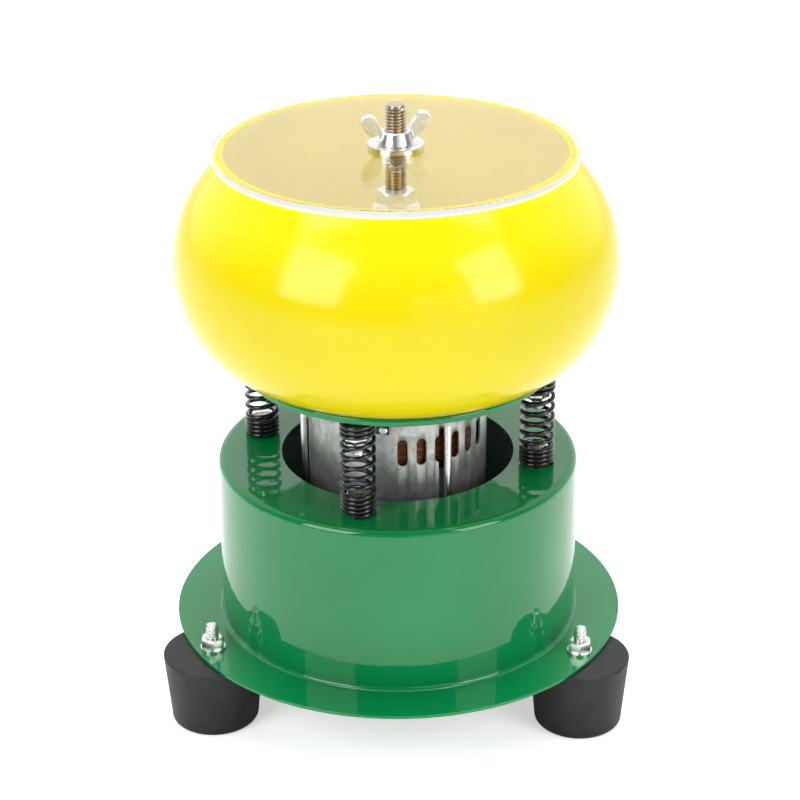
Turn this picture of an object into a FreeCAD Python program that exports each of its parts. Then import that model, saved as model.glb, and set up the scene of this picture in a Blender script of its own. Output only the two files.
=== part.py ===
import FreeCAD, Part
import math
import os

# Vibratory rock tumbler. Millimetres, +Z up. The origin is on the floor, on the axis of the drum.
# Three rubber feet carry a pressed drum. Four coil springs on its deck carry a plate, with the bowl
# on top of it and the motor hanging below it through the deck's hole.

os.makedirs("parts", exist_ok=True)

# ---- Driving dimensions ----

# Motor. Every radius of the base is worked out from here outwards.
motor_radius = 43.0
motor_sheet = 1.0
tie_rod_radius = 1.65
tie_rod_gap = 0.65          # from the can to the tie rods that run down its outside
tie_rod_first_angle = -59.0
tie_rod_count = 3
sway_gap = 9.35             # from the tie rods to the edge of the deck's hole, for the wobble

# Base: a drum with a wide flange, pressed from one sheet.
sheet = 1.5
spring_to_hole = 12.5       # from the edge of the deck's hole to the springs' centres
spring_to_wall = 18.1       # from the springs' centres to the outside of the drum
flange_width = 22.3
drum_height = 83.2
drum_draft = 0.8            # the drum's radius grows by this much from the deck to the flange
deck_edge_radius = 3.3
flange_bend_radius = 2.0
sheet_edge_radius = 0.4

# Cord inlet at the back, with its grommet
inlet_height = 36.0         # above the flange, clear of the rear foot's stud
inlet_angle = 90.0
inlet_bore_radius = 3.6
inlet_hole_radius = 5.6
grommet_rim = 2.6           # beyond the edge of the hole
grommet_lip = 2.4           # beyond each face of the wall
grommet_edge_radius = 0.9

# Feet
foot_height = 36.0
foot_top_radius = 24.0
foot_bottom_radius = 20.8
foot_edge_radius = 3.0
foot_top_edge_radius = 0.8
foot_count = 3
foot_first_angle = -31.6
foot_bolt_inset = 8.1       # from the flange's edge to the foot's bolt
foot_stud_above = 13.0      # above the flange
foot_stud_below = 14.0      # moulded into the rubber

# Springs
spring_count = 4
spring_first_angle = -15.2
spring_length = 47.3
spring_radius = 8.5
wire_radius = 1.1
lower_closed_turns = 4.0
upper_closed_turns = 2.25
open_turns = 6.0
closed_gap = 0.06           # between neighbouring closed turns
spring_end_gap = 0.02       # between the wire and the sheet that it rests on
lower_plug_height = 5.5
upper_plug_height = 6.1
lower_bolt_below_nut = 1.5
upper_stud_below_nut = 5.2

# Plate that carries the bowl and the motor
plate_thickness = 3.7
plate_top_rounding = 1.8
plate_foot_rounding = 0.6
plate_overhang = 6.2        # beyond the springs' centres

# M6 fasteners of the feet and springs
small_thread_radius = 3.0
small_thread_chamfer = 0.6
small_flats = 10.0
small_nut_height = 5.0
small_head_height = 4.0
small_washer_radius = 6.0
small_washer_height = 1.2

# M10 centre stud with its nuts, washers and wing nut
stud_radius = 5.0
stud_flats = 16.0
stud_nut_height = 8.0
stud_above_lid = 20.2
stud_below_nut = 2.0
stud_chamfer = 1.0
wide_washer_radius = 13.0
wide_washer_height = 1.8
hub_washer_radius = 11.0
hub_washer_height = 1.6
hub_seal_height = 1.5
wing_angle = 15.0
wing_span = 33.0
wing_height = 14.3
wing_thickness = 3.6
wing_lobe_radius = 3.8
wing_boss_radius = 8.5
wing_boss_top_radius = 6.8
wing_boss_height = 6.2
wing_boss_foot_rounding = 0.5
wing_boss_top_rounding = 0.8
wing_foot_inset = 1.5       # where a wing leaves the boss: inside its edge,
wing_foot_gap = 0.6         # above its foot
wing_shoulder_gap = 1.0     # and below its top
wing_belly = 0.78           # how full a wing's lower edge is, as a share of the lobe's radius
hexagon_slope = 0.6         # of the chamfer on a hexagon's corners

# Bowl and lid
bowl_radius = 104.6         # at the widest, outside
bowl_height = 98.8
bowl_widest_height = 47.0
bowl_lip_radius = 82.8
bowl_foot_radius = 67.0     # where the flat bottom turns up
bowl_wall = 3.0
lip_lean = 0.564            # outward run for each unit of height at the lip
foot_reach = 0.76           # how far each end of the wall's two curves keeps its direction, as a
low_belly_reach = 0.26      # share of the curve's own width or height
high_belly_reach = 0.56
lip_reach = 0.23
hub_height = 68.3
hub_top_wall = 4.2
hub_foot_radius = 27.0
hub_top_radius = 13.0
hub_foot_rounding = 6.0
hub_top_rounding = 1.5
lid_overhang = 1.9
lid_thickness = 4.0
lid_edge_radius = 0.5

# Motor, from the plate down
standoff_height = 12.5
standoff_radius = 5.0
standoff_thread = 8.0
shield_thickness = 2.5
spigot_height = 4.0
spigot_wall = 2.0
seam_lead = 1.7             # the can's open seam lies this many degrees before the first tie rod
seam_width = 4.0
seam_corner_radius = 2.5
vent_width = 4.7
vent_height = 13.5
vent_below_top = 7.4
vent_first_angle = -87.0
vent_pitch_angle = 12.0
vents_in_group = 6
vent_groups = 2
rod_head_flats = 7.0
rod_head_height = 3.0
stack_height = 28.0
stack_bore_radius = 24.4
slot_count = 12
slot_width = 6.0
slot_depth = 9.0
winding_inner_radius = 28.0
winding_gap = 2.0           # from the windings to the shields
upper_winding_height = 19.0
winding_edge_radius = 4.0
shaft_radius = 4.0
bearing_radius = 11.0
bearing_height = 7.0
housing_wall = 2.0
collar_radius = 7.0
collar_height = 1.0
collar_gap = 0.3            # from the collars to the bearings
air_gap = 0.4
end_ring_height = 4.0
end_ring_width = 8.0
end_ring_inset = 2.0
fan_inset = 1.4             # the fan is smaller than the rotor by this much
fan_height = 4.2
fan_blades = 9
fan_web = 1.2
fan_blade_inset = 1.0
weight_radius = 32.0
weight_thickness = 8.0
weight_gap = 4.0
weights_below_motor = 12.0
weight_hub_radius = 10.0
shaft_chamfer = 0.6
set_screw_radius = 2.5
shaft_below_weights = 2.5
earth_tab_angle = -103.0
earth_tab_width = 13.0
earth_tab_sheet = 1.2
earth_tab_drop = 5.5
earth_tab_length = 14.0
earth_tab_reach = 3.0       # beyond the can
earth_screw_radius = 2.0
earth_screw_inset = 0.45    # from the tab's edges
earth_screw_head = 1.6
earth_screw_shank = 1.9

# Clearances
bolt_gap = 0.2              # a bolt in its hole
stud_gap = 0.35             # the bowl and the lid on the centre stud
thread_gap = 0.05           # the nuts that turn on the centre stud
shaft_gap = 0.04            # the shaft in its bearings
coil_gap = 0.35             # a plug, washer or nut in a coil's bore
fit_gap = 0.1               # parts that sit in one another without moving
spare = 1.0                 # how far a cut runs past what it cuts

# ---- Places worked out from them ----

flange_top = foot_height + sheet
deck_top = flange_top + drum_height
deck_under = deck_top - sheet
plate_under = deck_top + spring_length
plate_top = plate_under + plate_thickness

tie_rod_circle = motor_radius + tie_rod_gap + tie_rod_radius
deck_hole_radius = tie_rod_circle + tie_rod_radius + sway_gap
spring_circle = deck_hole_radius + spring_to_hole
drum_radius = spring_circle + spring_to_wall
drum_foot_radius = drum_radius + drum_draft
flange_radius = drum_foot_radius + flange_width
foot_circle = flange_radius - foot_bolt_inset
plate_radius = spring_circle + plate_overhang
coil_bore_radius = spring_radius - 2.0 * wire_radius - coil_gap

bowl_bottom = plate_top
bowl_top = bowl_bottom + bowl_height
hub_top = bowl_bottom + hub_height
lid_top = bowl_top + lid_thickness
stud_top = lid_top + stud_above_lid

shield_top = plate_under - standoff_height
can_top = shield_top - shield_thickness
stack_top = can_top - spigot_height - winding_gap - upper_winding_height
stack_bottom = stack_top - stack_height
stack_radius = motor_radius - motor_sheet
rotor_radius = stack_bore_radius - air_gap
fan_radius = rotor_radius - fan_inset
fan_top = stack_bottom - end_ring_height
fan_bottom = fan_top - fan_height
lower_bearing_top = fan_bottom - collar_height - collar_gap
lower_bearing_bottom = lower_bearing_top - bearing_height
can_bottom = lower_bearing_bottom + shield_thickness
upper_bearing_top = can_top
upper_bearing_bottom = upper_bearing_top - bearing_height
housing_radius = bearing_radius + housing_wall
upper_weight_top = can_bottom - shield_thickness - weights_below_motor
lower_weight_top = upper_weight_top - weight_thickness - weight_gap
shaft_bottom = lower_weight_top - weight_thickness - shaft_below_weights
shaft_top = upper_bearing_top - fit_gap
seam_angle = tie_rod_first_angle - seam_lead


# ---- Helpers ----

def point(radius, height):
    return FreeCAD.Vector(radius, 0.0, height)


def angles(count, first):
    return [first + i * 360.0 / count for i in range(count)]


def turned(shape, angle):
    return shape.rotated(FreeCAD.Vector(0, 0, 0), FreeCAD.Vector(0, 0, 1), angle)


def around(shape, count, first):
    # Copies of a shape that lies on +X, evenly spaced about the axis.
    return [turned(shape, angle) for angle in angles(count, first)]


def group(shapes):
    return Part.makeCompound(shapes)


def cylinder(radius, bottom, top, at=0.0):
    return Part.makeCylinder(radius, top - bottom, FreeCAD.Vector(at, 0, bottom))


def ring(outer, inner, bottom, top, at=0.0):
    return cylinder(outer, bottom, top, at).cut(cylinder(inner, bottom - spare, top + spare, at))


def rounded_outline(corners):
    # A closed outline in the XZ plane. Each corner is (radius, height, rounding).
    edges = []
    ends = []
    for i, (x, z, rounding) in enumerate(corners):
        here = point(x, z)
        before = point(*corners[i - 1][:2]).sub(here).normalize()
        after = point(*corners[(i + 1) % len(corners)][:2]).sub(here).normalize()
        if rounding <= 0.0:
            ends.append((here, here))
            continue
        half = before.getAngle(after) / 2.0
        start = here + before * (rounding / math.tan(half))
        finish = here + after * (rounding / math.tan(half))
        inward = (before + after).normalize()
        middle = here + inward * (rounding / math.sin(half) - rounding)
        edges.append(Part.Arc(start, middle, finish).toShape())
        ends.append((start, finish))
    for i, (start, _) in enumerate(ends):
        previous = ends[i - 1][1]
        if previous.distanceToPoint(start) > 1e-6:
            edges.append(Part.makeLine(previous, start))
    return Part.Wire(Part.__sortEdges__(edges))


def revolved(wire):
    face = Part.Face(wire)
    return face.revolve(FreeCAD.Vector(0, 0, 0), FreeCAD.Vector(0, 0, 1), 360.0)


def hexagon(flats, bottom, top, at=0.0):
    # A hexagonal prism with its corners chamfered at both ends.
    corner = flats / math.sqrt(3.0)
    loop = [FreeCAD.Vector(at + corner * math.cos(math.radians(60.0 * i)),
                           corner * math.sin(math.radians(60.0 * i)), bottom) for i in range(7)]
    prism = Part.Face(Part.makePolygon(loop)).extrude(FreeCAD.Vector(0, 0, top - bottom))
    drop = (corner - flats / 2.0) * hexagon_slope
    limit = revolved(rounded_outline([
        (0.0, bottom, 0.0), (flats / 2.0, bottom, 0.0), (corner, bottom + drop, 0.0),
        (corner, top - drop, 0.0), (flats / 2.0, top, 0.0), (0.0, top, 0.0)]))
    limit.translate(FreeCAD.Vector(at, 0, 0))
    return prism.common(limit)


def nut(flats, bore, bottom, top, at=0.0):
    return hexagon(flats, bottom, top, at).cut(cylinder(bore, bottom - spare, top + spare, at))


def stud(radius, bottom, top, chamfer, at=0.0):
    shape = revolved(rounded_outline([
        (0.0, bottom, 0.0), (radius - chamfer, bottom, 0.0), (radius, bottom + chamfer, 0.0),
        (radius, top - chamfer, 0.0), (radius - chamfer, top, 0.0), (0.0, top, 0.0)]))
    shape.translate(FreeCAD.Vector(at, 0, 0))
    return shape


def save(name, shape):
    shape.exportStep("parts/" + name + ".step")
    print(name, "solids", len(shape.Solids), "valid", shape.isValid(), "volume", round(shape.Volume))


# ---- Base ----

def make_base_shell():
    inner_bend = flange_bend_radius + sheet
    inner_edge = deck_edge_radius - sheet
    shell = revolved(rounded_outline([
        (deck_hole_radius, deck_top, 0.0),
        (drum_radius, deck_top, deck_edge_radius),
        (drum_foot_radius, flange_top, flange_bend_radius),
        (flange_radius, flange_top, sheet_edge_radius),
        (flange_radius, foot_height, sheet_edge_radius),
        (drum_foot_radius - sheet, foot_height, inner_bend),
        (drum_radius - sheet, deck_under, inner_edge),
        (deck_hole_radius, deck_under, 0.0)]))
    hole = small_thread_radius + bolt_gap
    foot_hole = cylinder(hole, foot_height - spare, flange_top + spare, foot_circle)
    spring_hole = cylinder(hole, deck_under - spare, deck_top + spare, spring_circle)
    reach = sheet + spare
    holes = around(foot_hole, foot_count, foot_first_angle)
    holes += around(spring_hole, spring_count, spring_first_angle)
    return shell.cut(group(holes + [inlet_part(cylinder(inlet_hole_radius, -reach, reach))]))


def inlet_part(shape):
    # Lays a shape modelled along +Z so that it runs out through the drum's wall at the inlet.
    lying = shape.rotated(FreeCAD.Vector(0, 0, 0), FreeCAD.Vector(0, 1, 0), 90.0)
    share = 1.0 - inlet_height / drum_height
    wall_radius = drum_radius + drum_draft * share - sheet / 2.0
    lying.translate(FreeCAD.Vector(wall_radius, 0, flange_top + inlet_height))
    return turned(lying, inlet_angle)


def make_cord_grommet(shell):
    reach = sheet / 2.0 + grommet_lip
    blank = cylinder(inlet_hole_radius + grommet_rim, -reach, reach)
    blank = blank.makeFillet(grommet_edge_radius, blank.Edges)
    return inlet_part(blank.cut(cylinder(inlet_bore_radius, -reach - spare, reach + spare))).cut(shell)


def make_foot():
    body = revolved(rounded_outline([
        (0.0, 0.0, 0.0),
        (foot_bottom_radius, 0.0, foot_edge_radius),
        (foot_top_radius, foot_height, foot_top_edge_radius),
        (0.0, foot_height, 0.0)]))
    body.translate(FreeCAD.Vector(foot_circle, 0, 0))
    pocket = cylinder(small_thread_radius, foot_height - foot_stud_below, foot_height + spare, foot_circle)
    return body.cut(pocket)


base_shell = make_base_shell()
save("base_shell", base_shell)
save("cord_grommet", make_cord_grommet(base_shell))

for i, angle in enumerate(angles(foot_count, foot_first_angle)):
    save("foot_%d" % (i + 1), turned(make_foot(), angle))

foot_nut_bottom = flange_top + small_washer_height
foot_stud = stud(small_thread_radius, foot_height - foot_stud_below, flange_top + foot_stud_above,
                 small_thread_chamfer, foot_circle)
foot_washer = ring(small_washer_radius, small_thread_radius, flange_top, foot_nut_bottom, foot_circle)
foot_nut = nut(small_flats, small_thread_radius, foot_nut_bottom, foot_nut_bottom + small_nut_height,
               foot_circle)
save("foot_studs", group(around(foot_stud, foot_count, foot_first_angle)))
save("foot_washers", group(around(foot_washer, foot_count, foot_first_angle)))
save("foot_nuts", group(around(foot_nut, foot_count, foot_first_angle)))


# ---- Springs with what holds their ends ----

def make_spring():
    # One wire: closed turns at the bottom, open turns, and closed turns at the top.
    centre_radius = spring_radius - wire_radius
    closed_pitch = 2.0 * wire_radius + closed_gap
    bottom = deck_top + wire_radius + spring_end_gap
    top = plate_under - wire_radius - spring_end_gap
    lower = lower_closed_turns * closed_pitch
    upper = upper_closed_turns * closed_pitch
    middle = top - bottom - lower - upper
    stretches = [(closed_pitch, lower), (middle / open_turns, middle), (closed_pitch, upper)]
    edges = []
    height = bottom
    turns = 0.0
    for pitch, rise in stretches:
        helix = Part.makeHelix(pitch, rise, centre_radius)
        helix.rotate(FreeCAD.Vector(0, 0, 0), FreeCAD.Vector(0, 0, 1), 360.0 * turns)
        helix.translate(FreeCAD.Vector(0, 0, height))
        edges += helix.Edges
        height += rise
        turns += rise / pitch
    path = Part.Wire(edges)
    section = Part.Wire(Part.makeCircle(wire_radius, FreeCAD.Vector(centre_radius, 0, bottom),
                                        FreeCAD.Vector(0, 1, 0)))
    spring = path.makePipeShell([section], True, True)
    spring.translate(FreeCAD.Vector(spring_circle, 0, 0))
    return spring


spring = make_spring()
for i, angle in enumerate(angles(spring_count, spring_first_angle)):
    save("spring_%d" % (i + 1), turned(spring, angle))

lower_plug_top = deck_top + lower_plug_height
lower_head_bottom = lower_plug_top + small_washer_height
under_washer_bottom = deck_under - small_washer_height
under_nut_bottom = under_washer_bottom - small_nut_height
lower_bolt = hexagon(small_flats, lower_head_bottom, lower_head_bottom + small_head_height, spring_circle)
lower_shank = stud(small_thread_radius, under_nut_bottom - lower_bolt_below_nut,
                   lower_head_bottom + small_head_height / 2.0, small_thread_chamfer, spring_circle)
lower_bolt = lower_bolt.fuse(lower_shank).removeSplitter()
lower_plug = ring(coil_bore_radius, small_thread_radius, deck_top, lower_plug_top, spring_circle)
lower_washer = ring(coil_bore_radius, small_thread_radius, lower_plug_top, lower_head_bottom, spring_circle)
under_washer = ring(small_washer_radius, small_thread_radius, under_washer_bottom, deck_under, spring_circle)
under_nut = nut(small_flats, small_thread_radius, under_nut_bottom, under_washer_bottom, spring_circle)
save("lower_spring_bolts", group(around(lower_bolt, spring_count, spring_first_angle)))
save("lower_spring_plugs", group(around(lower_plug, spring_count, spring_first_angle)))
save("lower_spring_washers", group(around(lower_washer, spring_count, spring_first_angle)
                                   + around(under_washer, spring_count, spring_first_angle)))
save("lower_spring_nuts", group(around(under_nut, spring_count, spring_first_angle)))

upper_plug_bottom = plate_under - upper_plug_height
upper_washer_bottom = upper_plug_bottom - small_washer_height
upper_nut_bottom = upper_washer_bottom - small_nut_height
upper_stud = stud(small_thread_radius, upper_nut_bottom - upper_stud_below_nut, plate_under,
                  small_thread_chamfer, spring_circle)
upper_plug = ring(coil_bore_radius, small_thread_radius, upper_plug_bottom, plate_under, spring_circle)
upper_washer = ring(coil_bore_radius, small_thread_radius, upper_washer_bottom, upper_plug_bottom,
                    spring_circle)
upper_nut = nut(small_flats, small_thread_radius, upper_nut_bottom, upper_washer_bottom, spring_circle)
save("upper_spring_studs", group(around(upper_stud, spring_count, spring_first_angle)))
save("upper_spring_plugs", group(around(upper_plug, spring_count, spring_first_angle)))
save("upper_spring_washers", group(around(upper_washer, spring_count, spring_first_angle)))
save("upper_spring_nuts", group(around(upper_nut, spring_count, spring_first_angle)))


# ---- Plate and centre stud ----

def make_plate():
    bore = stud_radius + bolt_gap
    return revolved(rounded_outline([
        (bore, plate_under, 0.0),
        (plate_radius, plate_under, plate_foot_rounding),
        (plate_radius, plate_top, plate_top_rounding),
        (bore, plate_top, 0.0)]))


save("plate", make_plate())
stud_bottom = plate_under - stud_nut_height - stud_below_nut
save("centre_stud", stud(stud_radius, stud_bottom, stud_top, stud_chamfer))
plate_nuts = [nut(stud_flats, stud_radius, plate_under - stud_nut_height, plate_under),
              nut(stud_flats, stud_radius, plate_top, plate_top + stud_nut_height)]
save("stud_plate_nuts", group(plate_nuts))


# ---- Bowl with its hub, and what holds it down ----

def make_bowl():
    # A cup turned from one outline: the outside up to the lip, the inside down to the floor, then
    # over the hollow hub in the middle and back along the bottom.
    widest = bowl_bottom + bowl_widest_height
    lip_run = bowl_wall * math.hypot(1.0, lip_lean)
    below = bowl_widest_height
    above = bowl_height - bowl_widest_height
    floor = bowl_bottom + bowl_wall

    def bulge(offset):
        # From the bottom's edge to the lip. Offset is how far inside the outer face it runs.
        reach = bowl_radius - offset
        low = bowl_bottom + offset
        foot = bowl_foot_radius
        top = point(bowl_lip_radius - lip_run * (offset / bowl_wall), bowl_top)
        lower = [point(foot, low), point(foot + foot_reach * (reach - foot), low),
                 point(reach, widest - low_belly_reach * (below - offset)), point(reach, widest)]
        upper = [point(reach, widest), point(reach, widest + high_belly_reach * above),
                 top + point(lip_lean, -1.0) * (lip_reach * above), top]
        return lower, upper

    def curve(poles):
        bezier = Part.BezierCurve()
        bezier.setPoles(poles)
        return bezier.toShape()

    outer_low, outer_up = bulge(0.0)
    inner_low, inner_up = bulge(bowl_wall)
    bore = stud_radius + stud_gap
    edges = [curve(outer_low), curve(outer_up), Part.makeLine(outer_up[-1], inner_up[-1]),
             curve(inner_low), curve(inner_up)]
    hub = [point(bowl_foot_radius, floor), point(hub_foot_radius, floor), point(hub_top_radius, hub_top),
           point(bore, hub_top), point(bore, hub_top - hub_top_wall),
           point(hub_top_radius - bowl_wall, hub_top - hub_top_wall),
           point(hub_foot_radius - bowl_wall, bowl_bottom), point(bowl_foot_radius, bowl_bottom)]
    edges += [Part.makeLine(hub[i], hub[i + 1]) for i in range(len(hub) - 1)]
    bowl = revolved(Part.Wire(Part.__sortEdges__(edges)))
    bowl = bowl.makeFillet(hub_foot_rounding, circles(bowl, hub_foot_radius, floor))
    return bowl.makeFillet(hub_top_rounding, circles(bowl, hub_top_radius, hub_top))


def circles(shape, radius, height):
    # The shape's round edges of one radius at one height.
    found = []
    for edge in shape.Edges:
        if isinstance(edge.Curve, Part.Circle) and abs(edge.Curve.Radius - radius) < 1e-4:
            if abs(edge.Curve.Center.z - height) < 1e-4:
                found.append(edge)
    return found


seal_top = hub_top + hub_seal_height
hub_washer_top = seal_top + hub_washer_height
turning_bore = stud_radius + thread_gap
save("bowl", make_bowl())
save("hub_seal", ring(hub_washer_radius, stud_radius + stud_gap, hub_top, seal_top))
save("hub_washer", ring(hub_washer_radius, turning_bore, seal_top, hub_washer_top))
save("hub_nut", nut(stud_flats, turning_bore, hub_washer_top, hub_washer_top + stud_nut_height))


# ---- Lid, washer and wing nut ----

def make_lid():
    radius = bowl_lip_radius + lid_overhang
    bore = stud_radius + stud_gap
    return revolved(rounded_outline([
        (bore, bowl_top, 0.0), (radius, bowl_top, lid_edge_radius),
        (radius, lid_top, lid_edge_radius), (bore, lid_top, 0.0)]))


def make_wing(bottom):
    # One wing: a plate that leaves the boss low down and widens into a round lobe above it.
    lobe = wing_lobe_radius
    lobe_x = wing_span / 2.0 - lobe
    lobe_z = bottom + wing_height - lobe
    foot_x = wing_boss_top_radius - wing_foot_inset
    low = point(foot_x, bottom + wing_foot_gap)
    high = point(foot_x, bottom + wing_boss_height - wing_shoulder_gap)
    lean = math.atan2(lobe_z - low.z, lobe_x - low.x)
    across = point(math.sin(lean), -math.cos(lean)) * lobe
    centre = point(lobe_x, lobe_z)
    belly = (low + centre) * 0.5 + across * wing_belly
    edges = [
        Part.Arc(low, belly, centre + across).toShape(),
        Part.Arc(centre + across, centre + point(math.cos(lean), math.sin(lean)) * lobe,
                 centre - across).toShape(),
        Part.makeLine(centre - across, high),
        Part.makeLine(high, low)]
    wing = Part.Face(Part.Wire(edges)).extrude(FreeCAD.Vector(0, wing_thickness, 0))
    wing.translate(FreeCAD.Vector(0, -wing_thickness / 2.0, 0))
    return wing


def make_wing_nut():
    bottom = lid_top + wide_washer_height
    boss_top = bottom + wing_boss_height
    boss = revolved(rounded_outline([
        (0.0, bottom, 0.0), (wing_boss_radius, bottom, wing_boss_foot_rounding),
        (wing_boss_top_radius, boss_top, wing_boss_top_rounding), (0.0, boss_top, 0.0)]))
    wing = make_wing(bottom)
    both = boss.fuse([wing, turned(wing, 180.0)])
    both = both.cut(cylinder(turning_bore, bottom - spare, bottom + wing_height + spare))
    return turned(both, wing_angle)


save("lid", make_lid())
save("lid_washer", ring(wide_washer_radius, turning_bore, lid_top, lid_top + wide_washer_height))
save("wing_nut", make_wing_nut())


# ---- Motor, still parts ----

def make_shield(outer_face, inner_face, bearing_bottom):
    # An end shield: a disc with three ears for the tie rods, a spigot inside the can and a housing
    # round the bearing. The inner face lies against the can.
    low = min(outer_face, inner_face)
    high = max(outer_face, inner_face)
    inward = math.copysign(spigot_height, inner_face - outer_face)
    shield = cylinder(motor_radius, low, high)
    ear = cylinder(standoff_radius, low, high, tie_rod_circle)
    ear = ear.fuse(Part.makeBox(tie_rod_circle, 2.0 * standoff_radius, high - low,
                                FreeCAD.Vector(0, -standoff_radius, low)))
    spigot = ring(stack_radius - fit_gap, stack_radius - spigot_wall, min(inner_face, inner_face + inward),
                  max(inner_face, inner_face + inward))
    housing = cylinder(housing_radius, min(bearing_bottom, low), max(bearing_bottom + bearing_height, high))
    shield = shield.fuse(around(ear, tie_rod_count, tie_rod_first_angle) + [spigot, housing]).removeSplitter()
    hole = cylinder(tie_rod_radius, low - spare, high + spare, tie_rod_circle)
    return shield.cut(group(around(hole, tie_rod_count, tie_rod_first_angle)))


def make_top_shield():
    shield = make_shield(shield_top, can_top, upper_bearing_bottom)
    return shield.cut(cylinder(bearing_radius, upper_bearing_bottom - spare, upper_bearing_top))


def make_bottom_shield():
    shield = make_shield(can_bottom - shield_thickness, can_bottom, lower_bearing_bottom)
    return shield.cut(cylinder(bearing_radius, lower_bearing_bottom - spare, lower_bearing_top + spare))


def make_can():
    can = ring(motor_radius, stack_radius, can_bottom, can_top)
    vent_top = can_top - vent_below_top
    straight = vent_height - vent_width
    end_low = vent_top - vent_height + vent_width / 2.0
    inside = stack_radius - 2.0 * spare
    depth = motor_radius + spare - inside
    cutter = Part.makeBox(depth, vent_width, straight, FreeCAD.Vector(inside, -vent_width / 2.0, end_low))
    for height in (end_low, end_low + straight):
        end = Part.makeCylinder(vent_width / 2.0, depth, FreeCAD.Vector(inside, 0, height),
                                FreeCAD.Vector(1, 0, 0))
        cutter = cutter.fuse(end)
    for start in angles(vent_groups, vent_first_angle):
        for i in range(vents_in_group):
            can = can.cut(turned(cutter, start + i * vent_pitch_angle))
    seam = Part.makeBox(depth, seam_width, can_top - can_bottom + 2.0 * spare,
                        FreeCAD.Vector(inside, -seam_width / 2.0, can_bottom - spare))
    can = can.cut(turned(seam, seam_angle))
    corners = [e for e in can.Edges if isinstance(e.Curve, Part.Line) and e.BoundBox.ZLength < 1e-6]
    return can.makeFillet(seam_corner_radius, [e for e in corners if e.BoundBox.ZMin > can_top - 1e-3])


def make_stator_core():
    core = ring(stack_radius, stack_bore_radius, stack_bottom, stack_top)
    slot = Part.makeBox(slot_depth, slot_width, stack_height + 2.0 * spare,
                        FreeCAD.Vector(winding_inner_radius, -slot_width / 2.0, stack_bottom - spare))
    return core.cut(group(around(slot, slot_count, 0.0)))


def make_winding(bottom, top):
    outer = stack_radius - spigot_wall - fit_gap
    return revolved(rounded_outline([
        (winding_inner_radius, bottom, winding_edge_radius), (outer, bottom, winding_edge_radius),
        (outer, top, winding_edge_radius), (winding_inner_radius, top, winding_edge_radius)]))


def make_slot_coils():
    wide = slot_width - 2.0 * fit_gap
    coil = Part.makeBox(slot_depth - 2.0 * fit_gap, wide, stack_height,
                        FreeCAD.Vector(winding_inner_radius + fit_gap, -wide / 2.0, stack_bottom))
    return group(around(coil, slot_count, 0.0))


def make_earth_tab():
    # A strap on the top shield that turns down over the can.
    outside = motor_radius + earth_tab_reach
    low = shield_top - earth_tab_drop
    flat = Part.makeBox(earth_tab_length, earth_tab_width, earth_tab_sheet,
                        FreeCAD.Vector(outside - earth_tab_length, -earth_tab_width / 2.0, shield_top))
    down = Part.makeBox(earth_tab_sheet, earth_tab_width, earth_tab_drop + earth_tab_sheet,
                        FreeCAD.Vector(outside - earth_tab_sheet, -earth_tab_width / 2.0, low))
    hole = earth_screw_part(earth_screw_radius / 2.0 + bolt_gap, -earth_tab_sheet - spare, spare)
    return turned(flat.fuse(down).removeSplitter().cut(hole), earth_tab_angle)


def earth_screw_part(radius, start, finish):
    # A round bar along the earth screw's axis. Start and finish are measured from the tab's face.
    side = earth_tab_width / 2.0 - earth_screw_radius - earth_screw_inset
    height = shield_top - earth_tab_drop + earth_screw_radius + earth_screw_inset
    place = FreeCAD.Vector(motor_radius + earth_tab_reach + start, side, height)
    return Part.makeCylinder(radius, finish - start, place, FreeCAD.Vector(1, 0, 0))


def make_earth_screw():
    head = earth_screw_part(earth_screw_radius, 0.0, earth_screw_head)
    face = motor_radius + earth_tab_reach + earth_screw_head
    rim = [e for e in head.Edges if e.BoundBox.XMin > face - fit_gap]
    head = head.makeFillet(earth_screw_head / 3.0, rim)
    return turned(head.fuse(earth_screw_part(earth_screw_radius / 2.0, -earth_screw_shank, 0.0)),
                  earth_tab_angle)


save("motor_top_shield", make_top_shield())
save("motor_bottom_shield", make_bottom_shield())
save("motor_can", make_can())
save("stator_core", make_stator_core())
save("upper_winding", make_winding(stack_top, stack_top + upper_winding_height))
save("lower_winding", make_winding(can_bottom + winding_gap, stack_bottom))
save("slot_coils", make_slot_coils())
save("earth_tab", make_earth_tab())
save("earth_screw", make_earth_screw())
bearing_bore = shaft_radius + shaft_gap
save("upper_bearing", ring(bearing_radius, bearing_bore, upper_bearing_bottom, upper_bearing_top))
save("lower_bearing", ring(bearing_radius, bearing_bore, lower_bearing_bottom, lower_bearing_top))

rod_head_top = can_bottom - shield_thickness
standoff = cylinder(standoff_radius, shield_top, plate_under, tie_rod_circle)
rod_top = shield_top + standoff_thread
standoff = standoff.cut(cylinder(tie_rod_radius, shield_top - spare, rod_top, tie_rod_circle))
rod = cylinder(tie_rod_radius, rod_head_top - rod_head_height / 2.0, rod_top, tie_rod_circle)
rod = rod.fuse(hexagon(rod_head_flats, rod_head_top - rod_head_height, rod_head_top, tie_rod_circle))
rod = rod.removeSplitter()
save("motor_standoffs", group(around(standoff, tie_rod_count, tie_rod_first_angle)))
save("tie_rods", group(around(rod, tie_rod_count, tie_rod_first_angle)))


# ---- Motor, turning parts ----

def make_end_rings():
    outer = rotor_radius - end_ring_inset
    inner = outer - end_ring_width
    return group([ring(outer, inner, stack_top, stack_top + end_ring_height),
                  ring(outer, inner, stack_bottom - end_ring_height, stack_bottom)])


def make_fan():
    fan = ring(fan_radius, shaft_radius, fan_top - fan_web, fan_top)
    fan = fan.fuse(ring(collar_radius, shaft_radius, fan_bottom, fan_top))
    inner = collar_radius + fan_blade_inset
    blade = Part.makeBox(fan_radius - fan_blade_inset - inner, fan_web, fan_height,
                         FreeCAD.Vector(inner, -fan_web / 2.0, fan_bottom))
    return fan.fuse(around(blade, fan_blades, 0.0)).removeSplitter()


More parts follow.
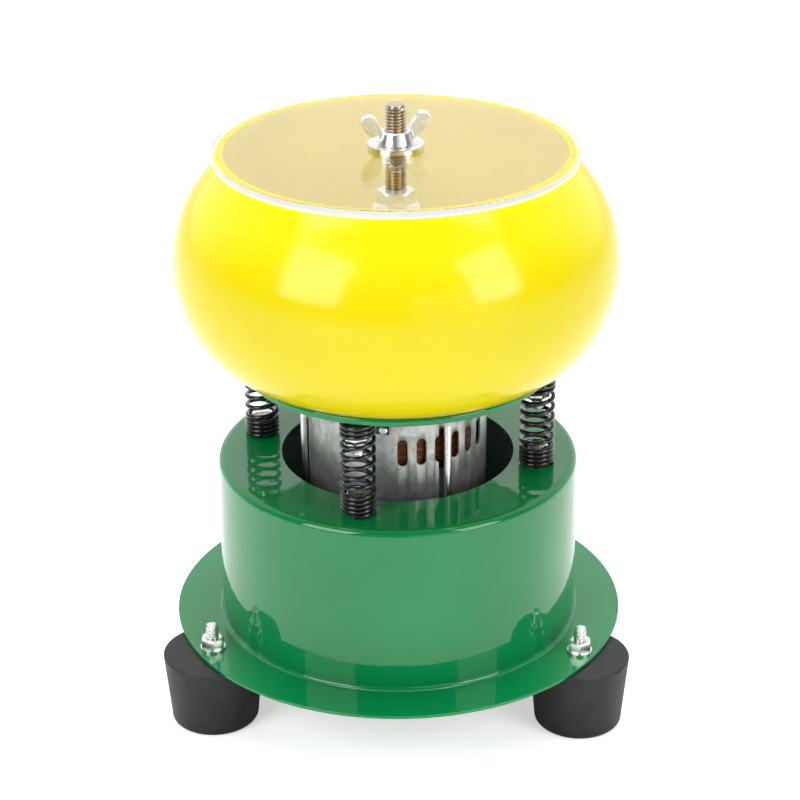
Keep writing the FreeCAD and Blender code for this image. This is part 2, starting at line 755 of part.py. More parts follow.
def make_weight(top):
    # Half a disc on a round hub, so that the turning shaft shakes the plate.
    bottom = top - weight_thickness
    half = cylinder(weight_radius, bottom, top)
    half = half.cut(Part.makeBox(4.0 * weight_radius, 2.0 * weight_radius, weight_thickness + 2.0 * spare,
                                 FreeCAD.Vector(-2.0 * weight_radius, 0, bottom - spare)))
    weight = half.fuse(cylinder(weight_hub_radius, bottom, top)).removeSplitter()
    weight = weight.cut(cylinder(shaft_radius, bottom - spare, top + spare))
    return weight.cut(set_screw_at(top, shaft_radius, weight_hub_radius + spare))


def set_screw_at(top, start, finish):
    height = top - weight_thickness / 2.0
    return Part.makeCylinder(set_screw_radius, finish - start, FreeCAD.Vector(0, start, height),
                             FreeCAD.Vector(0, 1, 0))


shaft = stud(shaft_radius, shaft_bottom, shaft_top, shaft_chamfer)
save("shaft", shaft)
save("rotor_core", ring(rotor_radius, shaft_radius, stack_bottom, stack_top))
save("rotor_end_rings", make_end_rings())
save("cooling_fan", make_fan())
save("upper_weight", make_weight(upper_weight_top))
save("lower_weight", make_weight(lower_weight_top))
set_screws = [set_screw_at(top, shaft_radius, weight_hub_radius).cut(shaft)
              for top in (upper_weight_top, lower_weight_top)]
save("set_screws", group(set_screws))
upper_collar_top = upper_bearing_bottom - collar_gap
collars = [ring(collar_radius, shaft_radius, upper_collar_top - collar_height, upper_collar_top),
           ring(collar_radius, shaft_radius, fan_bottom - collar_height, fan_bottom)]
save("thrust_collars", group(collars))
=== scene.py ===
import math
import bpy
from mathutils import Matrix, Vector


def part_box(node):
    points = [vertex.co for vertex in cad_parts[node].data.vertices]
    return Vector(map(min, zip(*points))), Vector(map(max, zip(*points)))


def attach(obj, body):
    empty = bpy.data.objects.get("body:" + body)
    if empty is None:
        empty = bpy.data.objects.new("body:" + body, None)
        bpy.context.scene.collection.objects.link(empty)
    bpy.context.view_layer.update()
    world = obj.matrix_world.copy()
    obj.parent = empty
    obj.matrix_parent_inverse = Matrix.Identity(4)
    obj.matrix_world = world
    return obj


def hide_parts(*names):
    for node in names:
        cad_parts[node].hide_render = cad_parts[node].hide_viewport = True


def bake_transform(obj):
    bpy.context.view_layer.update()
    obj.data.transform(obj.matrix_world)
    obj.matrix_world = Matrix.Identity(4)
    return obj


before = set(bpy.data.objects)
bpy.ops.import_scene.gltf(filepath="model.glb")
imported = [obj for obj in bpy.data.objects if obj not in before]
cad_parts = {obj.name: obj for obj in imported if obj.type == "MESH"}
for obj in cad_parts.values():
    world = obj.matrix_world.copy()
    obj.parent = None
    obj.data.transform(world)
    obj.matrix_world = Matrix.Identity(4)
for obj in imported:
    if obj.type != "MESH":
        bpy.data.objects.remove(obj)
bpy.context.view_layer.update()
bpy.ops.object.select_all(action="DESELECT")
millimetre = 0.001


cameraView = {
    "place": (0.0, -0.998, 0.6148),
    "pitchDown": 25.15,     # degrees below level
    "roll": -0.34,
    "lens": 103.0,
    "shift": 0.0033,
}


def placeCamera():
    bpy.ops.object.camera_add()
    camera = bpy.context.object
    camera.name = "camera"
    tilt = Matrix.Rotation(math.radians(90.0 - cameraView["pitchDown"]), 4, "X")
    lean = Matrix.Rotation(math.radians(cameraView["roll"]), 4, "Z")
    camera.matrix_world = Matrix.Translation(cameraView["place"]) @ tilt @ lean
    camera.data.lens = cameraView["lens"]
    camera.data.shift_x = cameraView["shift"]
    bpy.context.scene.camera = camera


studio = {
    "floorSize": 14.0,
    "floorColour": (0.93, 0.93, 0.92),
    "floorBounce": (0.85, 0.85, 0.84),     # what the object is lit by
    "floorRoughness": 0.8,
    "floorLift": 0.5,       # keeps the paper white round the feet
    "roomFront": 0.05,      # the dark room behind the camera
    "roomBack": 1.2,        # the lit sweep behind the object
    "roomFacing": (0.0, 0.9, 0.43),     # towards the sweep
    "roomFade": (0.08, 0.62),   # where the dark starts to give way, and where it has
    # name: place, size, watts
    "lamps": {
        "leftBox": ((-1.02, -1.06, 0.90), (0.88, 1.05), 16.5),
        "rightBox": ((1.15, -0.95, 0.86), (0.7, 1.0), 11.5),
        "topBox": ((0.0, 0.15, 1.7), (1.2, 0.9), 30.0),
        "lowFill": ((1.0, -1.5, 0.42), (1.8, 0.9), 4.5),
    },
    "aim": (0.0, 0.0, 0.18),
}


def layFloor():
    bpy.ops.mesh.primitive_plane_add(size=studio["floorSize"])
    floor = bpy.context.object
    floor.name = "floor"
    paper = bpy.data.materials.new("paleFloor")
    paper.use_nodes = True
    tree = paper.node_tree
    shader = tree.nodes["Principled BSDF"]
    shader.inputs["Roughness"].default_value = studio["floorRoughness"]
    shader.inputs["Emission Color"].default_value = (1, 1, 1, 1)
    seen = addNode(tree, "LightPath").outputs["Is Camera Ray"]
    colour = addNode(tree, "Mix", {"Factor": seen}, data_type="RGBA")
    colour.inputs[6].default_value = (*studio["floorBounce"], 1)
    colour.inputs[7].default_value = (*studio["floorColour"], 1)
    lift = addNode(tree, "Math", {0: seen}, {1: studio["floorLift"]}, operation="MULTIPLY")
    tree.links.new(colour.outputs[2], shader.inputs["Base Color"])
    tree.links.new(lift.outputs[0], shader.inputs["Emission Strength"])
    floor.data.materials.append(paper)


def hangLamps():
    for name, (place, size, watts) in studio["lamps"].items():
        bpy.ops.object.light_add(type="AREA", location=place)
        lamp = bpy.context.object
        lamp.name = name
        lamp.data.shape = "RECTANGLE"
        lamp.data.size, lamp.data.size_y = size
        lamp.data.energy = watts
        aim = Vector(studio["aim"]) - Vector(place)
        lamp.rotation_euler = aim.to_track_quat("-Z", "Y").to_euler()


def lightRoom():
    # dark behind the camera, bright behind the object, plain white where the camera sees it
    world = bpy.context.scene.world or bpy.data.worlds.new("studio")
    bpy.context.scene.world = world
    world.use_nodes = True
    tree = world.node_tree
    where = addNode(tree, "TexCoord")
    facing = addNode(tree, "VectorMath", {0: where.outputs["Generated"]}, {1: studio["roomFacing"]},
                     operation="DOT_PRODUCT")
    room = rangeOf(tree, facing.outputs["Value"], *studio["roomFade"], studio["roomFront"],
                   studio["roomBack"])
    seen = addNode(tree, "LightPath")
    shown = addNode(tree, "Mix", {"Factor": seen.outputs["Is Camera Ray"], "A": room}, {"B": 1.0},
                    data_type="FLOAT")
    back = tree.nodes["Background"]
    tree.links.new(shown.outputs["Result"], back.inputs["Strength"])
    back.inputs["Color"].default_value = (1.0, 1.0, 1.0, 1.0)
    bpy.context.scene.view_settings.view_transform = "Standard"


def addNode(tree, kind, links=None, values=None, **settings):
    made = tree.nodes.new("ShaderNode" + kind)
    for name, value in settings.items():
        setattr(made, name, value)
    for socket, value in (values or {}).items():
        made.inputs[socket].default_value = value
    for socket, source in (links or {}).items():
        tree.links.new(source, made.inputs[socket])
    return made


def startFinish(name, sockets):
    # a new material, its tree, its shader and the piece's own coordinates
    finish = bpy.data.materials.new(name)
    finish.use_nodes = True
    tree = finish.node_tree
    shader = tree.nodes["Principled BSDF"]
    for socket, value in sockets.items():
        shader.inputs[socket].default_value = value
    where = addNode(tree, "TexCoord").outputs["Object"]
    return finish, tree, shader, where


def noiseOf(tree, where, scale, detail=3.0, roughness=0.5, stretch=(1, 1, 1)):
    shape = addNode(tree, "Mapping", {"Vector": where}, {"Scale": stretch})
    grain = addNode(tree, "TexNoise", {"Vector": shape.outputs["Vector"]},
                    {"Scale": scale, "Detail": detail, "Roughness": roughness})
    return grain.outputs["Fac"]


def rampOf(tree, source, stops):
    # stops: (position, colour)
    ramp = addNode(tree, "ValToRGB", {"Fac": source})
    elements = ramp.color_ramp.elements
    while len(elements) < len(stops):
        elements.new(0.5)
    for element, (position, colour) in zip(elements, stops):
        element.position = position
        element.color = (*colour, 1) if len(colour) == 3 else colour
    return ramp.outputs["Color"]


def rangeOf(tree, source, low, high, toLow, toHigh):
    scaled = addNode(tree, "MapRange", {"Value": source},
                     {"From Min": low, "From Max": high, "To Min": toLow, "To Max": toHigh})
    return scaled.outputs["Result"]


def bumpOf(tree, height, strength, distance, below=None):
    links = {"Height": height}
    if below is not None:
        links["Normal"] = below
    return addNode(tree, "Bump", links, {"Strength": strength, "Distance": distance}).outputs["Normal"]


def greenEnamel():
    # stoved enamel: a deep coat with a faint orange peel and a few dust nibs, with painted shade
    # inside the drum
    look = {
        "deep": (0.0004, 0.172, 0.046),
        "light": (0.0010, 0.205, 0.060),
        "inside": (0.0004, 0.022, 0.009),   # painted shade inside the drum, near-black where its shadow falls
        "insideRadius": 0.08625,            # metres
        "insideTop": 0.1193,
        "insideCoat": 0.1,
        "coatRoughness": 0.035,
        "cloud": (11.0, 4.0),               # scale, detail
        "peel": (240.0, 2.0),
        "peelBump": (0.1, 0.0003),          # strength, depth
        "waves": (28.0, 1.0),
        "waveBump": (0.07, 0.002),
        "nibs": (900.0, 1.0),
        "nibBump": (0.25, 0.0002),
    }
    finish, tree, shader, where = startFinish("greenEnamel", {
        "Roughness": 0.5, "Specular IOR Level": 0.05, "Coat Weight": 1.0,
        "Coat Roughness": look["coatRoughness"], "Coat IOR": 1.5})
    cloud = noiseOf(tree, where, *look["cloud"])
    paint = rampOf(tree, cloud, [(0.35, look["deep"]), (0.68, look["light"])])
    # painted shade: within the drum's radius and under the deck the enamel is painted near-black and
    # its coat thinned, standing in for the shadow inside
    inside = insideOf(tree, where, look["insideRadius"], look["insideTop"])
    paintAndInsideShade = addNode(tree, "Mix", {"Factor": inside}, data_type="RGBA")
    tree.links.new(paint, paintAndInsideShade.inputs[6])
    paintAndInsideShade.inputs[7].default_value = (*look["inside"], 1)
    tree.links.new(paintAndInsideShade.outputs[2], shader.inputs["Base Color"])
    gloss = rangeOf(tree, inside, 0.0, 1.0, 1.0, look["insideCoat"])
    tree.links.new(gloss, shader.inputs["Coat Weight"])
    peel = bumpOf(tree, noiseOf(tree, where, *look["peel"]), *look["peelBump"])
    waves = bumpOf(tree, noiseOf(tree, where, *look["waves"]), *look["waveBump"], peel)
    nibs = rangeOf(tree, noiseOf(tree, where, *look["nibs"]), 0.78, 0.84, 0.0, 1.0)
    tree.links.new(bumpOf(tree, nibs, *look["nibBump"], waves), shader.inputs["Coat Normal"])
    tree.links.new(waves, shader.inputs["Normal"])
    return finish


def insideOf(tree, where, radius, top):
    # 1 within the radius and under the top, 0 elsewhere
    level = addNode(tree, "SeparateXYZ", {0: where})
    flat = addNode(tree, "CombineXYZ", {0: level.outputs["X"], 1: level.outputs["Y"]})
    reach = addNode(tree, "VectorMath", {0: flat.outputs[0]}, operation="LENGTH")
    within = addNode(tree, "Math", {0: reach.outputs["Value"]}, {1: radius}, operation="LESS_THAN")
    under = addNode(tree, "Math", {0: level.outputs["Z"]}, {1: top}, operation="LESS_THAN")
    both = addNode(tree, "Math", {0: within.outputs[0], 1: under.outputs[0]}, operation="MULTIPLY")
    return both.outputs[0]


def yellowPlastic():
    # moulded bowl: faint turning marks under a glossy skin
    look = {
        "body": (0.665, 0.565, 0.004),
        "warm": (0.640, 0.535, 0.003),
        "cloud": (7.0, 3.0),                        # scale, detail
        "flow": (26.0, 2.0, 0.5, (1, 1, 0.35)),     # and roughness, stretch
        "flowBump": (0.06, 0.002),                  # strength, depth
        "scuffs": (320.0, 5.0, 0.65, (1, 1, 5)),
        "grain": (700.0, 2.0),
        "grainBump": (0.05, 0.0002),
        "streaks": (22.0, 3.0, 0.6, (0.18, 0.18, 9)),
        "streakBump": (0.05, 0.0004),
    }
    finish, tree, shader, where = startFinish("yellowPlastic", {
        "Roughness": 0.3, "Specular IOR Level": 0.02, "Coat Weight": 0.85, "Coat Roughness": 0.15,
        "Coat IOR": 1.4,
        "Subsurface Weight": 0.08, "Subsurface Radius": (1.0, 0.8, 0.1), "Subsurface Scale": 0.004})
    cloud = noiseOf(tree, where, *look["cloud"])
    body = rampOf(tree, cloud, [(0.3, look["warm"]), (0.7, look["body"])])
    tree.links.new(body, shader.inputs["Base Color"])
    scuffs = noiseOf(tree, where, *look["scuffs"])
    tree.links.new(rangeOf(tree, scuffs, 0.4, 0.75, 0.17, 0.3), shader.inputs["Roughness"])
    grain = bumpOf(tree, noiseOf(tree, where, *look["grain"]), *look["grainBump"])
    turned = bumpOf(tree, noiseOf(tree, where, *look["streaks"]), *look["streakBump"], grain)
    gloss = bumpOf(tree, noiseOf(tree, where, *look["flow"]), *look["flowBump"], turned)
    tree.links.new(gloss, shader.inputs["Normal"])
    tree.links.new(gloss, shader.inputs["Coat Normal"])
    return finish


def clearAcrylic():
    # polished sheet with hairline scratches; shadow rays pass, so that the bowl below stays lit
    look = {
        "tint": (0.985, 0.995, 0.985),
        "ior": 1.49,
        "polish": 0.0,
        "scratched": 0.05,
        "hairs": (60.0, 4.0, 0.7, (1, 9, 1)),   # scale, detail, roughness, stretch
        "dips": (16.0, 1.0),
        "dipBump": (0.03, 0.001),               # strength, depth
        "edge": (0.93, 0.94, 0.92),
        "edgeShare": 0.62,      # how frosted the sawn rim is
        "sawMarks": (150.0, 3.0, 0.5, (1, 1, 8)),
        "sawBump": (0.2, 0.0003),
    }
    finish, tree, shader, where = startFinish("clearAcrylic", {
        "Base Color": (*look["tint"], 1), "Transmission Weight": 1.0, "IOR": look["ior"]})
    hairs = noiseOf(tree, where, *look["hairs"])
    tree.links.new(rangeOf(tree, hairs, 0.45, 0.8, look["polish"], look["scratched"]),
                   shader.inputs["Roughness"])
    dips = noiseOf(tree, where, *look["dips"])
    tree.links.new(bumpOf(tree, dips, *look["dipBump"]), shader.inputs["Normal"])
    clear = addNode(tree, "BsdfTransparent", values={"Color": (*look["tint"], 1)})
    ray = addNode(tree, "LightPath")
    sheet = addNode(tree, "MixShader", {0: ray.outputs["Is Shadow Ray"], 1: shader.outputs[0],
                                        2: clear.outputs[0]})
    lying = addNode(tree, "SeparateXYZ", {0: addNode(tree, "NewGeometry").outputs["True Normal"]})
    flat = addNode(tree, "Math", {0: lying.outputs["Z"]}, operation="ABSOLUTE")
    rim = rangeOf(tree, flat.outputs["Value"], 0.35, 0.8, look["edgeShare"], 0.0)
    frost = addNode(tree, "BsdfDiffuse", values={"Color": (*look["edge"], 1)})
    sawMarks = noiseOf(tree, where, *look["sawMarks"])
    tree.links.new(bumpOf(tree, sawMarks, *look["sawBump"]), frost.inputs["Normal"])
    both = addNode(tree, "MixShader", {0: rim, 1: sheet.outputs[0], 2: frost.outputs[0]})
    tree.links.new(both.outputs[0], tree.nodes["Material Output"].inputs["Surface"])
    return finish


plating = {
    "cloudDetail": (5.0, 0.6),              # detail, roughness
    "markScale": 9.0,                       # finer than the clouds by this much
    "markDetail": (3.0, 0.6, (1, 1, 4)),    # and stretch
    "knockBump": (0.22, 0.0003),            # strength, depth
    "markBump": (0.1, 0.0001),
}


def platedSteel(name, light, dark, roughness, spread=0.12, scale=140.0):
    # bright plating: faint clouds, turning marks and small knocks
    finish, tree, shader, where = startFinish(name, {"Metallic": 1.0, "Roughness": roughness})
    cloud = noiseOf(tree, where, scale, *plating["cloudDetail"])
    tree.links.new(rampOf(tree, cloud, [(0.32, dark), (0.66, light)]), shader.inputs["Base Color"])
    marks = noiseOf(tree, where, scale * plating["markScale"], *plating["markDetail"])
    polish = rangeOf(tree, marks, 0.3, 0.75, roughness, roughness + spread)
    tree.links.new(polish, shader.inputs["Roughness"])
    knocks = bumpOf(tree, cloud, *plating["knockBump"])
    tree.links.new(bumpOf(tree, marks, *plating["markBump"], knocks), shader.inputs["Normal"])
    return finish


def motorSheet():
    # galvanised sheet: grey mottle with flat spangles
    look = {
        "dark": (0.29, 0.295, 0.29),
        "mid": (0.43, 0.44, 0.425),
        "light": (0.60, 0.61, 0.59),
        "mottle": (75.0, 6.0, 0.7),     # scale, detail, roughness
        "spangleScale": 260.0,
        "spangleShare": 0.2,
        "bump": (0.12, 0.0004),         # strength, depth
    }
    finish, tree, shader, where = startFinish("motorSheet", {"Metallic": 0.75, "Roughness": 0.34})
    cloud = noiseOf(tree, where, *look["mottle"])
    spangles = addNode(tree, "TexVoronoi", {"Vector": where}, {"Scale": look["spangleScale"]},
                       feature="F1")
    grey = addNode(tree, "SeparateColor", {0: spangles.outputs["Color"]})
    mixed = addNode(tree, "Mix", {"A": cloud, "B": grey.outputs["Red"]},
                    {"Factor": look["spangleShare"]}, data_type="FLOAT").outputs["Result"]
    stops = [(0.28, look["dark"]), (0.5, look["mid"]), (0.72, look["light"])]
    tree.links.new(rampOf(tree, mixed, stops), shader.inputs["Base Color"])
    tree.links.new(rangeOf(tree, mixed, 0.25, 0.75, 0.42, 0.3), shader.inputs["Roughness"])
    tree.links.new(bumpOf(tree, mixed, *look["bump"]), shader.inputs["Normal"])
    return finish


def blackWire():
    look = {
        "body": (0.004, 0.004, 0.005),
        "worn": (0.012, 0.012, 0.013),
        "wear": (210.0, 4.0, 0.6),      # scale, detail, roughness
        "grain": (1500.0, 2.0),
        "grainBump": (0.06, 0.0001),    # strength, depth
    }
    finish, tree, shader, where = startFinish("blackWire", {
        "Roughness": 0.3, "Specular IOR Level": 0.2, "Coat Weight": 1.0, "Coat Roughness": 0.06,
        "Coat IOR": 1.42})
    wear = noiseOf(tree, where, *look["wear"])
    body = rampOf(tree, wear, [(0.45, look["body"]), (0.7, look["worn"])])
    tree.links.new(body, shader.inputs["Base Color"])
    tree.links.new(rangeOf(tree, wear, 0.35, 0.7, 0.12, 0.3), shader.inputs["Roughness"])
    grain = noiseOf(tree, where, *look["grain"])
    tree.links.new(bumpOf(tree, grain, *look["grainBump"]), shader.inputs["Normal"])
    return finish


def mouldedRubber():
    look = {
        "body": (0.010, 0.010, 0.011),
        "dusty": (0.024, 0.024, 0.025),
        "dust": (60.0, 6.0, 0.7),               # scale, detail, roughness
        "skin": (1100.0, 3.0),
        "skinBump": (0.18, 0.0001),             # strength, depth
        "lines": (70.0, 2.0, 0.5, (1, 1, 7)),   # and stretch
        "lineBump": (0.12, 0.0003),
    }
    finish, tree, shader, where = startFinish("mouldedRubber", {"Roughness": 0.48, "IOR": 1.4})
    dust = noiseOf(tree, where, *look["dust"])
    body = rampOf(tree, dust, [(0.45, look["body"]), (0.78, look["dusty"])])
    tree.links.new(body, shader.inputs["Base Color"])
    tree.links.new(rangeOf(tree, dust, 0.3, 0.7, 0.34, 0.58), shader.inputs["Roughness"])
    skin = bumpOf(tree, noiseOf(tree, where, *look["skin"]), *look["skinBump"])
    lines = bumpOf(tree, noiseOf(tree, where, *look["lines"]), *look["lineBump"], skin)
    tree.links.new(lines, shader.inputs["Normal"])
    return finish


# varnished winding wire: thin strands that run round the motor
copperWire = {
    "sockets": {"Metallic": 0.7, "Roughness": 0.3, "Coat Weight": 0.7, "Coat Roughness": 0.12},
    "bands": {"Scale": 420.0, "Distortion": 5.0, "Detail": 2.0},
    "stops": [(0.1, (0.10, 0.020, 0.010)), (0.8, (0.46, 0.13, 0.06))],
    "bump": (0.7, 0.0003),      # strength, depth
}

# thin sheets stacked along the shaft
stackedSteel = {
    "sockets": {"Metallic": 0.9, "Roughness": 0.42},
    "bands": {"Scale": 310.0, "Distortion": 0.3, "Detail": 1.0},
    "stops": [(0.2, (0.10, 0.10, 0.11)), (0.75, (0.30, 0.30, 0.31))],
    "bump": (0.5, 0.0002),
}


def bandedMetal(name, look):
    finish, tree, shader, where = startFinish(name, look["sockets"])
    bands = addNode(tree, "TexWave", {"Vector": where}, look["bands"],
                    wave_type="BANDS", bands_direction="Z").outputs["Fac"]
    tree.links.new(rampOf(tree, bands, look["stops"]), shader.inputs["Base Color"])
    tree.links.new(bumpOf(tree, bands, *look["bump"]), shader.inputs["Normal"])
    return finish


casting = {
    "skin": (420.0, 5.0, 0.65),     # scale, detail, roughness
    "skinBump": (0.35, 0.0002),     # strength, depth
    "spread": 0.15,                 # of the shader's roughness
}


def castMetal(name, dark, light, metallic, roughness):
    finish, tree, shader, where = startFinish(name, {"Metallic": metallic, "Roughness": roughness})
    skin = noiseOf(tree, where, *casting["skin"])
    tree.links.new(rampOf(tree, skin, [(0.3, dark), (0.7, light)]), shader.inputs["Base Color"])
    rough = rangeOf(tree, skin, 0.3, 0.7, roughness, roughness + casting["spread"])
    tree.links.new(rough, shader.inputs["Roughness"])
    tree.links.new(bumpOf(tree, skin, *casting["skinBump"]), shader.inputs["Normal"])
    return finish


def makeFinishes():
    return {
        "green": greenEnamel(),
        "yellow": yellowPlastic(),
        "clear": clearAcrylic(),
        "zinc": platedSteel("zincPlate", (0.88, 0.88, 0.87), (0.72, 0.73, 0.74), 0.2),
        "castZinc": platedSteel("castZinc", (0.86, 0.86, 0.85), (0.72, 0.73, 0.74), 0.22,
                                scale=260.0),
        "studSteel": platedSteel("studSteel", (0.56, 0.48, 0.40), (0.46, 0.38, 0.31), 0.2, 0.08),
        "motor": motorSheet(),
        "wire": blackWire(),
        "rubber": mouldedRubber(),
        "copper": bandedMetal("copperWire", copperWire),
        "stacked": bandedMetal("stackedSteel", stackedSteel),
        "castAluminium": castMetal("castAluminium", (0.45, 0.46, 0.47), (0.62, 0.62, 0.63), 1.0, 0.35),
        "darkSteel": castMetal("darkSteel", (0.03, 0.03, 0.032), (0.075, 0.075, 0.08), 0.8, 0.32),
        "castIron": castMetal("castIron", (0.07, 0.07, 0.072), (0.14, 0.14, 0.14), 0.8, 0.45),
    }


cadFinishes = {
    "green": ["base_shell", "plate"],
    "yellow": ["bowl"],
    "clear": ["lid"],
    "zinc": ["foot_washers", "lower_spring_washers", "upper_spring_washers", "hub_washer",
             "lid_washer", "motor_standoffs"],
    "motor": ["motor_top_shield", "motor_bottom_shield"],
    "rubber": ["cord_grommet", "foot_1", "foot_2", "foot_3", "hub_seal"],
    "copper": ["slot_coils"],
    "stacked": ["stator_core", "rotor_core"],
    "castAluminium": ["rotor_end_rings", "cooling_fan"],
    "darkSteel": ["lower_spring_plugs", "upper_spring_plugs", "upper_bearing", "lower_bearing",
                  "shaft", "set_screws", "thrust_collars"],
    "castIron": ["upper_weight", "lower_weight"],
}


def finishCadNodes():
    for finish, nodes in cadFinishes.items():
        for node in nodes:
            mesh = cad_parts[node].data
            mesh.materials.clear()
            mesh.materials.append(finishes[finish])


def only(piece):
    bpy.ops.object.select_all(action="DESELECT")
    piece.select_set(True)
    bpy.context.view_layer.objects.active = piece


def edit(piece, kind="VERT"):
    only(piece)
    bpy.ops.object.mode_set(mode="EDIT")
    bpy.ops.mesh.select_mode(type=kind)
    bpy.ops.mesh.select_all(action="SELECT")


def leaveEdit():
    bpy.ops.object.mode_set(mode="OBJECT")


def pick(piece, kind, test):
    # enters edit mode with only the vertices or faces that pass the test selected
    edit(piece)
    bpy.ops.mesh.select_all(action="DESELECT")
    leaveEdit()
    parts = piece.data.vertices if kind == "VERT" else piece.data.polygons
    for part in parts:
        part.select = test(part)
    bpy.ops.object.mode_set(mode="EDIT")
    bpy.ops.mesh.select_mode(type=kind)


def applyModifier(piece, modifier):
    only(piece)
    bpy.ops.object.modifier_apply(modifier=modifier.name)


edgeSmooth = 35.0       # degrees: sharper edges than this stay sharp
threadSmooth = 40.0
roundSmooth = 50.0
castSmooth = 60.0


def settle(piece, smoothAngle=edgeSmooth):
    # puts the place into the mesh and smooths all but the sharp edges
    only(piece)
    bpy.ops.object.transform_apply(location=True, rotation=True, scale=True)
    bpy.ops.object.shade_smooth_by_angle(angle=math.radians(smoothAngle))


def finishPiece(piece, name, body, slot, finish, *replaced):
    piece.name = name
    piece.data.name = name
    piece.data.materials.clear()
    piece.data.materials.append(finishes[finish])
    if body:
        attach(piece, body)
    if replaced:
        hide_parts(*replaced)


def joinPieces(pieces):
    bpy.ops.object.select_all(action="DESELECT")
    for piece in pieces:
        piece.select_set(True)
    bpy.context.view_layer.objects.active = pieces[0]
    bpy.ops.object.join()
    return pieces[0]


def drawOutline(points):
    # one vertex, drawn out along the outline in the XZ plane
    bpy.ops.mesh.primitive_plane_add(size=millimetre, location=(0, 0, 0))
    piece = bpy.context.object
    edit(piece)
    bpy.ops.mesh.merge(type="CENTER")
    bpy.ops.transform.translate(value=(points[0][0], 0, points[0][1]))
    for (x0, z0), (x1, z1) in zip(points, points[1:]):
        bpy.ops.mesh.extrude_region_move(TRANSFORM_OT_translate={"value": (x1 - x0, 0, z1 - z0)})
    leaveEdit()
    return piece


def screwPiece(piece, turns, rise, steps):
    # turns the outline about Z, steps to a turn, while it climbs by rise in all
    screw = piece.modifiers.new("screw", "SCREW")
    screw.axis = "Z"
    screw.angle = 2 * math.pi * turns
    screw.screw_offset = rise
    screw.steps = round(steps * turns)
    screw.render_steps = screw.steps
    applyModifier(piece, screw)


weldGap = 0.00001           # metres: ends that meet are merged within this
threadWeldGap = 0.000002    # a thread's turns
copyWeldGap = 0.000001      # the loose triangles of a copied node


def closePiece(piece):
    # doubles merged, open ends filled, faces turned outwards
    edit(piece)
    bpy.ops.mesh.remove_doubles(threshold=weldGap)
    bpy.ops.mesh.select_all(action="DESELECT")
    bpy.ops.mesh.select_non_manifold()
    bpy.ops.mesh.fill_holes(sides=0)
    bpy.ops.mesh.select_all(action="SELECT")
    bpy.ops.mesh.normals_make_consistent(inside=False)
    leaveEdit()


def lathePiece(outline, steps):
    # a closed outline of (radius, height) in millimetres, turned once about Z
    points = [(radius * millimetre, height * millimetre) for radius, height in outline]
    piece = drawOutline(points + points[:1])
    screwPiece(piece, 1, 0.0, steps)
    closePiece(piece)
    return piece


def turnedCopy(piece, degrees):
    # its own mesh, turned about the drum's axis
    copied = piece.copy()
    copied.data = piece.data.copy()
    bpy.context.collection.objects.link(copied)
    only(copied)
    copied.rotation_euler = (0, 0, math.radians(degrees))
    bpy.ops.object.transform_apply(location=True, rotation=True, scale=True)
    return copied


def around(piece, count, firstDegrees):
    # count copies spaced evenly about the axis, the first of them the piece itself
    made = [turnedCopy(piece, firstDegrees + 360.0 / count * i) for i in range(count)]
    bpy.data.objects.remove(piece)
    return made


def mergedCopy(node):
    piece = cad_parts[node].copy()
    piece.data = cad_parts[node].data.copy()
    bpy.context.collection.objects.link(piece)
    piece.parent = None
    piece.matrix_world = Matrix.Identity(4)
    for key in list(piece.keys()):
        del piece[key]
    edit(piece)
    bpy.ops.mesh.remove_doubles(threshold=copyWeldGap)
    leaveEdit()
    return piece


edgeBevel = {
    "flatDegrees": 0.6,     # faces that lie flatter than this become one
    "sharpDegrees": 32.0,   # edges sharper than this are bevelled
    "pointDegrees": 60.0,   # and round a rod's point
    "segments": 2,
}


def bevelEdges(piece, width, sharpDegrees=edgeBevel["sharpDegrees"]):
    # width in metres
    bevel = piece.modifiers.new("bevel", "BEVEL")
    bevel.width = width
    bevel.segments = edgeBevel["segments"]
    bevel.limit_method = "ANGLE"
    bevel.angle_limit = math.radians(sharpDegrees)
    applyModifier(piece, bevel)


springShape = {
    "wire": 1.1,            # millimetres
    "coilRadius": 7.4,      # to the middle of the wire
    "circle": 68.8,         # of the four springs on the deck
    "firstDegrees": -15.2,
    "closedPitch": 2.26,
    "lowerTurns": 4,
    "openTurns": 6,
    "upperTurns": 2.25,
    "sides": 14,
    "stepsPerTurn": 32,
}


def coilStretch(turns, rise, bottom):
    bpy.ops.mesh.primitive_circle_add(
        vertices=springShape["sides"], radius=springShape["wire"] * millimetre,
        location=(springShape["coilRadius"] * millimetre, 0, bottom), rotation=(math.pi / 2, 0, 0))
    stretch = bpy.context.object
    bpy.ops.object.transform_apply(location=True, rotation=True, scale=True)
    screwPiece(stretch, turns, rise, springShape["stepsPerTurn"])
    return stretch


def makeSprings():
    low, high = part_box("spring_1")
    bottom = low[2] + springShape["wire"] * millimetre
    top = high[2] - springShape["wire"] * millimetre
    closedPitch = springShape["closedPitch"] * millimetre
    lowerRise = springShape["lowerTurns"] * closedPitch
    upperRise = springShape["upperTurns"] * closedPitch
    openRise = top - bottom - lowerRise - upperRise
    spring = joinPieces([
        coilStretch(springShape["lowerTurns"], lowerRise, bottom),
        coilStretch(springShape["openTurns"], openRise, bottom + lowerRise),
        coilStretch(springShape["upperTurns"], upperRise, top - upperRise)])
    closePiece(spring)
    spring.location = (springShape["circle"] * millimetre, 0, 0)
    settle(spring, roundSmooth)
    for i, made in enumerate(around(spring, 4, springShape["firstDegrees"])):
        finishPiece(made, f"spring{i + 1}Coil", None, "black_spring", "wire", f"spring_{i + 1}")
        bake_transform(made)


